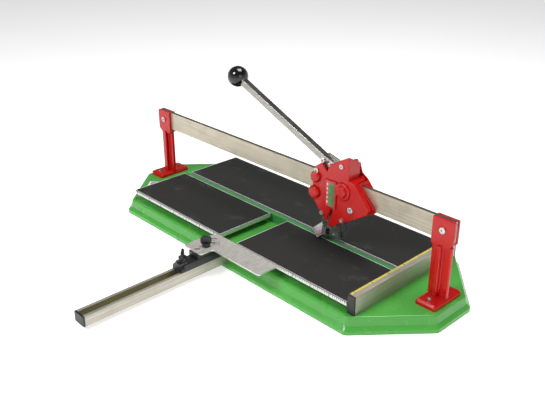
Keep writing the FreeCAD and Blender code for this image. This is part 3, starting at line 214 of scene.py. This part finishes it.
looks = {
    "tray": paint("greenEnamel", (0.078, 0.40, 0.058), 0.26, 0.01, 900, 0.06, 0.25),
    "rib": paint("ribEnamel", (0.05, 0.30, 0.07), 0.30, 0.01),
    "casting": paint("redCasting", (0.56, 0.006, 0.005), 0.22, 0.0, 420, 0.22, 0.2),
    # the last number darkens the rail's upward faces: a painted dark reflection
    "rail": metal("rolledRail", (0.60, 0.545, 0.43), 0.38, (0.02, 1, 1), 0.2, 0.75, 0.35, 0.85),
    "board": metal("boardAluminium", (0.80, 0.80, 0.79), 0.32, (0.03, 1, 1), 0.1, 0.6, 0.1),
    "extrusion": metal("extrudedAluminium", (0.54, 0.51, 0.44), 0.42, (1, 0.02, 1), 0.15, 0.7),
    "plate": metal("rolledPlate", (0.78, 0.76, 0.71), 0.34, (1, 0.25, 1), 0.08, 0.55, 0.1),
    # the last number darkens the handle bar's upward faces: a painted dark reflection
    "handle": metal("drawnBar", (0.42, 0.405, 0.37), 0.28, (0.03, 1, 1), 0.15, 0.9, 0.2, 0.75),
    "rocker": metal("rockerSteel", (0.50, 0.49, 0.46), 0.26, (1, 1, 1), 0.1, 0.9, 0.2),
    "bright": metal("groundSteel", (0.80, 0.80, 0.81), 0.13, (1, 1, 1), 0.02, 1.0, 0.05),
    "screw": metal("zincScrew", (0.66, 0.65, 0.62), 0.24, (1, 1, 1), 0.1, 1.0),
    "holder": metal("holderSteel", (0.30, 0.32, 0.33), 0.34, (1, 1, 1), 0.2, 0.8),
    "dark": metal("hardWheel", (0.12, 0.12, 0.13), 0.28, (1, 1, 1), 0.1, 0.9),
    "mat": rubber("pebbledMat", (0.024, 0.024, 0.023), 900, 0.5),
    "buffer": rubber("bufferRubber", (0.02, 0.02, 0.02), 600, 0.4),
    "cap": plastic("capPlastic", (0.012, 0.012, 0.012), 0.42),
    "ball": plastic("ballResin", (0.006, 0.006, 0.006), 0.09, 300, 0.02, 0.5),
    "knob": plastic("knobPlastic", (0.014, 0.014, 0.015), 0.32, 900, 0.15),
    "slider": plastic("sliderPlastic", (0.016, 0.016, 0.017), 0.36, 900, 0.2),
}

scaleLow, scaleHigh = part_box("front_left_scale")
looks["scale"] = ruled("scaleStrip", (0.82, 0.82, 0.80), "X", 0.0, {
    "across": "Z", "below": False,
    "ticks": [(5 * mm, 0.9 * mm, scaleHigh.z - 2.6 * mm), (10 * mm, 1.1 * mm, scaleHigh.z - 4 * mm),
              (50 * mm, 1.8 * mm, scaleLow.z)]})
tapeLow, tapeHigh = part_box("fence_tape")
looks["fenceTape"] = ruled("fenceTape", (0.80, 0.69, 0.11), "Y", 0.0, {
    "across": "X", "below": True,
    "ticks": [(5 * mm, 0.9 * mm, tapeLow.x + 2 * mm), (10 * mm, 1.1 * mm, tapeLow.x + 3 * mm),
              (50 * mm, 1.8 * mm, tapeHigh.x)]})
armLow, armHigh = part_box("arm_tape")
looks["armTape"] = ruled("armTape", (0.44, 0.40, 0.07), "Y", 0.0, {
    "across": "X", "below": True,
    "ticks": [(5 * mm, 0.9 * mm, armLow.x + 4 * mm), (10 * mm, 1.1 * mm, armLow.x + 6 * mm),
              (50 * mm, 1.8 * mm, armHigh.x)]})


wearing = {
    "tray": ["base_tray", "stiffener_channel", "hinge_brackets"],
    "rib": ["breaker_rib"],
    "casting": ["pedestal_left", "pedestal_right", "carriage_front_shell", "carriage_rear_shell"],
    "rail": ["rail_bar"],
    "board": ["front_left_board", "front_right_board", "rear_board"],
    "mat": ["front_left_mat", "front_right_mat", "rear_mat"],
    "scale": ["front_left_scale", "front_right_scale"],
    "extrusion": ["side_fence", "measuring_arm"],
    "fenceTape": ["fence_tape"],
    "armTape": ["arm_tape"],
    "plate": ["protractor_plate", "arm_saddle", "clamp_nuts"],
    "cap": ["fence_end_caps", "arm_end_cap"],
    "slider": ["slider_block"],
    "knob": ["slider_knob", "plate_knob"],
    "buffer": ["rubber_buffers"],
    "ball": ["ball_knob"],
    "handle": ["handle_bar"],
    "rocker": ["rocker_plate_front", "rocker_plate_rear"],
    "holder": ["wheel_holder"],
    "dark": ["scoring_wheel"],
    "bright": ["breaker_foot", "upper_left_roller", "upper_right_roller", "lower_left_roller",
               "lower_right_roller"],
    "screw": ["pedestal_screws", "rail_bolts", "hinge_pins", "roller_axles", "carriage_screws",
              "lever_pivot", "handle_bolts", "holder_pins", "wheel_axle", "foot_pin",
              "front_left_spring_left", "front_left_spring_right", "front_right_spring_left",
              "front_right_spring_right", "rear_spring_left", "rear_spring_right"],
}
for look, names in wearing.items():
    for name in names:
        mesh = nodes[name].data
        mesh.materials.clear()
        mesh.materials.append(looks[look])
print("finishes on")


def deselect():
    if bpy.context.object and bpy.context.object.mode != "OBJECT":
        bpy.ops.object.mode_set(mode="OBJECT")
    bpy.ops.object.select_all(action="DESELECT")


def finishPiece(piece, body, look, bevel=0.0):
    if bevel:
        edge = piece.modifiers.new("edge", "BEVEL")
        edge.width = bevel
        edge.segments = 3
        edge.limit_method = "ANGLE"
        bpy.ops.object.modifier_apply(modifier="edge")
    piece.data.materials.append(looks[look])
    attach(piece, body)
    return piece


def thinPlate(name, middle, size, thick, corner, turn=(0, 0, 0)):
    # a flat plate with rounded corners, raised from a plane, then turned to face its way
    deselect()
    bpy.ops.mesh.primitive_plane_add(size=1, location=(0, 0, 0))
    piece = bpy.context.object
    piece.name = name
    piece.scale = (size[0], size[1], 1)
    bpy.ops.object.transform_apply(location=True, rotation=True, scale=True)
    bpy.ops.object.mode_set(mode="EDIT")
    bpy.ops.mesh.select_all(action="SELECT")
    bpy.ops.mesh.bevel(offset=corner, segments=4, affect="VERTICES")
    bpy.ops.mesh.select_all(action="SELECT")
    bpy.ops.mesh.extrude_region_move(TRANSFORM_OT_translate={"value": (0, 0, thick)})
    bpy.ops.mesh.select_all(action="SELECT")
    bpy.ops.mesh.normals_make_consistent(inside=False)
    bpy.ops.object.mode_set(mode="OBJECT")
    piece.rotation_euler = turn
    piece.location = middle
    bpy.ops.object.transform_apply(location=True, rotation=True, scale=True)
    return piece


looks["labelGreen"] = plastic("labelGreen", (0.05, 0.22, 0.05), 0.25, 400, 0.03, 0.4)
looks["labelRed"] = plastic("labelRed", (0.50, 0.03, 0.06), 0.28, 400, 0.03, 0.4)
looks["labelPale"] = plastic("labelPale", (0.75, 0.55, 0.55), 0.3, 400, 0.03, 0.4)
looks["ink"] = plastic("markInk", (0.03, 0.03, 0.03), 0.5, 400, 0.03)
looks["trim"] = metal("trimAluminium", (0.90, 0.90, 0.89), 0.34, (0.1, 0.1, 1), 0.04, 0.35, 0.05)
looks["stickerWhite"] = plastic("stickerWhite", (0.78, 0.77, 0.80), 0.3, 400, 0.03)
looks["stickerViolet"] = plastic("stickerViolet", (0.16, 0.10, 0.38), 0.3, 400, 0.03)

# plain label: red border, green panel and a row of pale dashes
labelLow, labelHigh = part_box("label_plate")
nodes["label_plate"].data.materials.clear()
nodes["label_plate"].data.materials.append(looks["labelRed"])
label = {"panelLeft": 9 * mm, "panelRight": 3 * mm, "end": 3 * mm, "thick": 0.3 * mm, "corner": 1.5 * mm,
         "dashes": 5, "dashPitch": 10 * mm, "dashLong": 6 * mm, "dashWide": 3 * mm, "dashInset": 3 * mm,
         "dashCorner": 0.8 * mm}
upright = (math.radians(90), 0, 0)
panelLeft, panelRight = labelLow.x + label["panelLeft"], labelHigh.x - label["panelRight"]
panel = thinPlate("labelPanel", ((panelLeft + panelRight) / 2, labelLow.y, (labelLow.z + labelHigh.z) / 2),
                  (panelRight - panelLeft, labelHigh.z - labelLow.z - 2 * label["end"]),
                  label["thick"], label["corner"], upright)
finishPiece(panel, "carriage", "labelGreen")
dashX = labelLow.x + label["dashInset"] + label["dashWide"] / 2
for i in range(label["dashes"]):
    height = labelLow.z + label["dashPitch"] * (i + 1)
    dash = thinPlate("labelDash%d" % i, (dashX, labelLow.y, height), (label["dashWide"], label["dashLong"]),
                     label["thick"], label["dashCorner"], upright)
    finishPiece(dash, "carriage", "labelPale")
print("label done")

# socket screw with a wide bright collar that holds the two castings at the lower right
collar = {"radius": 7 * mm, "tall": 3.2 * mm, "socket": 3.4 * mm, "depth": 2.4 * mm, "edge": 0.6 * mm,
          "sides": 36, "castingFace": -22 * mm}
rollerLow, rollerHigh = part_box("lower_right_roller")
deselect()
bpy.ops.mesh.primitive_circle_add(vertices=collar["sides"], radius=collar["radius"], fill_type="NGON")
screw = bpy.context.object
screw.name = "collar_screw"
bpy.ops.object.mode_set(mode="EDIT")
bpy.ops.mesh.select_mode(type="FACE")
bpy.ops.mesh.select_all(action="SELECT")
bpy.ops.mesh.extrude_region_move(TRANSFORM_OT_translate={"value": (0, 0, collar["tall"])})
bpy.ops.mesh.inset(thickness=collar["radius"] - collar["socket"])
bpy.ops.mesh.extrude_region_move(TRANSFORM_OT_translate={"value": (0, 0, -collar["depth"])})
bpy.ops.mesh.select_all(action="SELECT")
bpy.ops.mesh.normals_make_consistent(inside=False)
bpy.ops.object.mode_set(mode="OBJECT")
screw.rotation_euler = upright
middle = (rollerLow + rollerHigh) / 2
screw.location = (middle.x, collar["castingFace"], middle.z)
bpy.ops.object.transform_apply(location=True, rotation=True, scale=True)
finishPiece(screw, "carriage", "bright", collar["edge"])
bpy.ops.object.shade_smooth_by_angle(angle=math.radians(40))
print("collar screw done")

# thin aluminium frames that hold the mats' edges
trim = {"wide": 1.5 * mm, "proud": 0.25 * mm, "edge": 0.3 * mm}
for table in ("front_left", "front_right", "rear"):
    low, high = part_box(table + "_mat")
    deselect()
    middle = (low + high) / 2
    bpy.ops.mesh.primitive_plane_add(size=1, location=(middle.x, middle.y, low.z))
    frameEdge = bpy.context.object
    frameEdge.name = table + "_edge_trim"
    frameEdge.scale = (high.x - low.x, high.y - low.y, 1)
    bpy.ops.object.transform_apply(location=True, rotation=True, scale=True)
    bpy.ops.object.mode_set(mode="EDIT")
    bpy.ops.mesh.select_mode(type="FACE")
    bpy.ops.mesh.select_all(action="SELECT")
    bpy.ops.mesh.inset(thickness=trim["wide"])
    bpy.ops.mesh.delete(type="FACE")
    bpy.ops.mesh.select_all(action="SELECT")
    rise = high.z + trim["proud"] - low.z
    bpy.ops.mesh.extrude_region_move(TRANSFORM_OT_translate={"value": (0, 0, rise)})
    bpy.ops.mesh.select_all(action="SELECT")
    bpy.ops.mesh.normals_make_consistent(inside=False)
    bpy.ops.object.mode_set(mode="OBJECT")
    finishPiece(frameEdge, table + "_table", "trim", trim["edge"])
print("table trims done")

# plain sticker on the plateau, square to the cut corner: a violet block over two printed lines
boardLow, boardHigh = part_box("front_left_board")
sticker = {"wide": 35 * mm, "deep": 44 * mm, "thick": 0.25 * mm, "corner": 2 * mm, "left": 34 * mm,
           "fromFront": 80 * mm, "turn": 41.3, "print": 27 * mm,
           "rows": ((-9 * mm, 16 * mm), (6 * mm, 5 * mm), (14 * mm, 5 * mm)),
           "printThick": 0.1 * mm, "printCorner": 0.8 * mm}
stickerSpin = math.radians(sticker["turn"])
stickerX = boardLow.x - sticker["left"]
stickerY = boardLow.y + sticker["fromFront"]
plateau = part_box("breaker_rib")[0].z
paper = thinPlate("sticker", (stickerX, stickerY, plateau), (sticker["wide"], sticker["deep"]),
                  sticker["thick"], sticker["corner"], (0, 0, stickerSpin))
finishPiece(paper, "base", "stickerWhite")
for i, (along, deep) in enumerate(sticker["rows"]):
    spot = (stickerX - along * math.sin(stickerSpin), stickerY + along * math.cos(stickerSpin),
            plateau + sticker["thick"])
    row = thinPlate("stickerPrint%d" % i, spot, (sticker["print"], deep), sticker["printThick"],
                    sticker["printCorner"], (0, 0, stickerSpin))
    finishPiece(row, "base", "stickerViolet")
print("sticker done")

# angle marks stamped round the stop plate's pivot
pivotLow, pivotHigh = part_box("plate_knob")
plateLow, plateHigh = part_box("protractor_plate")
marks = {"radius": 26 * mm, "step": 7.5, "count": 13, "short": 3 * mm, "long": 5 * mm, "wide": 0.7 * mm,
         "thick": 0.15 * mm, "corner": 0.2 * mm}
ticks = []
for i in range(marks["count"]):
    angle = math.radians((i - marks["count"] // 2) * marks["step"])
    reach = marks["long"] if i % 2 == 0 else marks["short"]
    radius = marks["radius"] + reach / 2
    spot = ((pivotLow.x + pivotHigh.x) / 2 + radius * math.sin(angle),
            (pivotLow.y + pivotHigh.y) / 2 + radius * math.cos(angle), plateHigh.z)
    ticks.append(thinPlate("tick%d" % i, spot, (marks["wide"], reach), marks["thick"], marks["corner"],
                           (0, 0, -angle)))
deselect()
for tick in ticks:
    tick.select_set(True)
bpy.context.view_layer.objects.active = ticks[0]
bpy.ops.object.join()
ticks[0].name = "angle_marks"
finishPiece(ticks[0], "stop_plate", "ink")
print("angle marks done")

studio = {"floorSize": 12.0, "floorColor": (0.88, 0.88, 0.88), "floorGlow": 0.48, "world": 0.66,
          "wallTop": 0.12, "ceilingStart": 0.40, "ceiling": (0.16, 0.16, 0.16)}
deselect()
bpy.ops.mesh.primitive_plane_add(size=studio["floorSize"], location=(0, 0, 0))
floor = bpy.context.object
floor.name = "studioFloor"
floorMat, floorTree, floorShader = newFinish("paperFloor", studio["floorColor"], 0, 0.9)
floorShader.inputs["Emission Color"].default_value = (1, 1, 1, 1)
floorShader.inputs["Emission Strength"].default_value = studio["floorGlow"]
floor.data.materials.append(floorMat)

world = bpy.data.worlds.new("studioAir")
bpy.context.scene.world = world
world.use_nodes = True
# bright walls round the table and a dim ceiling, so that upward metal faces read dark
air = world.node_tree
heading = air.nodes.new("ShaderNodeTexCoord")
axes = air.nodes.new("ShaderNodeSeparateXYZ")
ceiling = air.nodes.new("ShaderNodeValToRGB")
ceiling.color_ramp.elements[0].position = studio["wallTop"]
ceiling.color_ramp.elements[0].color = (1, 1, 1, 1)
ceiling.color_ramp.elements[1].position = studio["ceilingStart"]
ceiling.color_ramp.elements[1].color = (*studio["ceiling"], 1)
air.links.new(heading.outputs["Generated"], axes.inputs["Vector"])
air.links.new(axes.outputs["Z"], ceiling.inputs["Fac"])
air.links.new(ceiling.outputs["Color"], air.nodes["Background"].inputs["Color"])
air.nodes["Background"].inputs["Strength"].default_value = studio["world"]

lamps = (  # name, place, size and power
    ("key", (-0.5, -2.2, 2.3), 0.9, 48),
    ("top", (0.2, 0.5, 2.6), 1.3, 46),
    ("fill", (2.2, -0.6, 1.0), 1.2, 5),
)
for name, place, size, power in lamps:
    deselect()
    bpy.ops.object.light_add(type="AREA", location=place)
    lamp = bpy.context.object
    lamp.name = name + "Lamp"
    lamp.data.size = size
    lamp.data.energy = power
    lamp.rotation_mode = "QUATERNION"
    lamp.rotation_quaternion = (Vector((0, 0, 0.1)) - lamp.location).to_track_quat("-Z", "Y")

lens = {"place": (1.0837, -1.0553, 0.8060), "azimuth": 46.56, "down": 25.13, "length": 47.8,
        "sensor": 36}
deselect()
bpy.ops.object.camera_add(location=lens["place"])
camera = bpy.context.object
turn, tilt = math.radians(lens["azimuth"]), math.radians(lens["down"])
ahead = Vector((-math.sin(turn) * math.cos(tilt), math.cos(turn) * math.cos(tilt), -math.sin(tilt)))
camera.rotation_mode = "QUATERNION"
camera.rotation_quaternion = ahead.to_track_quat("-Z", "Y")
camera.data.lens = lens["length"]
camera.data.sensor_width = lens["sensor"]
bpy.context.scene.camera = camera
bpy.context.scene.view_settings.view_transform = "Standard"
print("studio set")
